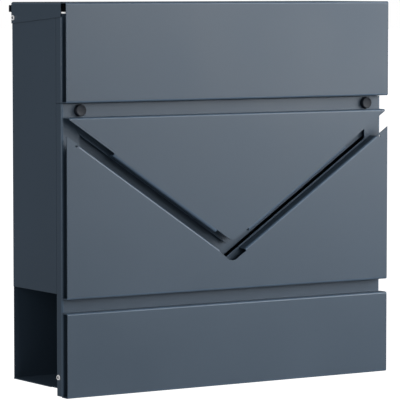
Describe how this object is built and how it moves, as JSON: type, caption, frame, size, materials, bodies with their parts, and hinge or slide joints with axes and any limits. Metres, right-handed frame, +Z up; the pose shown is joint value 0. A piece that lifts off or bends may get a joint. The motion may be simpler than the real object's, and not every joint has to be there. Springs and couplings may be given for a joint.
{
  "type": "wall mounted mailbox",
  "caption": "Wall mounted sheet steel mailbox with a lift-up lid, an envelope-shaped drop-down front door with a slanted window, and an open newspaper bay below.",
  "frame": {"origin": "middle of the upper wall strip's rear face, on the wall plane", "axes": "+Z up, +Y into the wall, +X to the right for someone facing the box; the front faces -Y"},
  "size_m": [0.3744, 0.1181, 0.3704],
  "materials": {
    "anthracite_powder_coat": "satin, fine powder coat texture",
    "black_rubber": "matt",
    "zinc_plated_steel": "bright zinc",
    "chromed_lock": "polished",
    "pale_edge_trim": "satin pale plastic"
  },
  "bodies": {
    "case": {"case_shell": "anthracite_powder_coat", "compartment_floor": "anthracite_powder_coat", "bottom_plate": "anthracite_powder_coat", "front_header": "anthracite_powder_coat", "slot_edge_trim": "pale_edge_trim", "wall_strip_upper": "black_rubber", "wall_strip_lower": "black_rubber", "lid_hinge_rivet_left": "zinc_plated_steel", "lid_hinge_rivet_right": "zinc_plated_steel", "door_hinge_rivet_left": "zinc_plated_steel", "door_hinge_rivet_right": "zinc_plated_steel", "lock_housing": "chromed_lock", "lock_nut": "zinc_plated_steel"},
    "lid": {"lid_shell": "anthracite_powder_coat", "lid_rear_bumper_left": "black_rubber", "lid_rear_bumper_right": "black_rubber"},
    "door": {"door_plate": "anthracite_powder_coat", "envelope_flap_panel": "anthracite_powder_coat", "envelope_front_panel": "anthracite_powder_coat", "lower_front_panel": "anthracite_powder_coat", "rain_guard": "anthracite_powder_coat", "lid_buffer_left": "black_rubber", "lid_buffer_right": "black_rubber", "door_striker": "zinc_plated_steel"},
    "lock_barrel": {"lock_plug": "zinc_plated_steel", "lock_cam": "zinc_plated_steel", "lock_cam_screw": "zinc_plated_steel"}
  },
  "joints": [
    {"name": "lid_hinge", "type": "hinge", "parent": "case", "child": "lid", "pos_m": [0, -0.0184, 0.0254], "axis": [-1, 0, 0], "range_deg": [0, 45]},
    {"name": "door_hinge", "type": "hinge", "parent": "case", "child": "door", "pos_m": [0, -0.1007, -0.3115], "axis": [1, 0, 0], "range_deg": [0, 38]},
    {"name": "lock_turn", "type": "hinge", "parent": "case", "child": "lock_barrel", "pos_m": [0, -0.0904, -0.034], "axis": [0, 1, 0], "range_deg": [0, 90]}
  ]
}
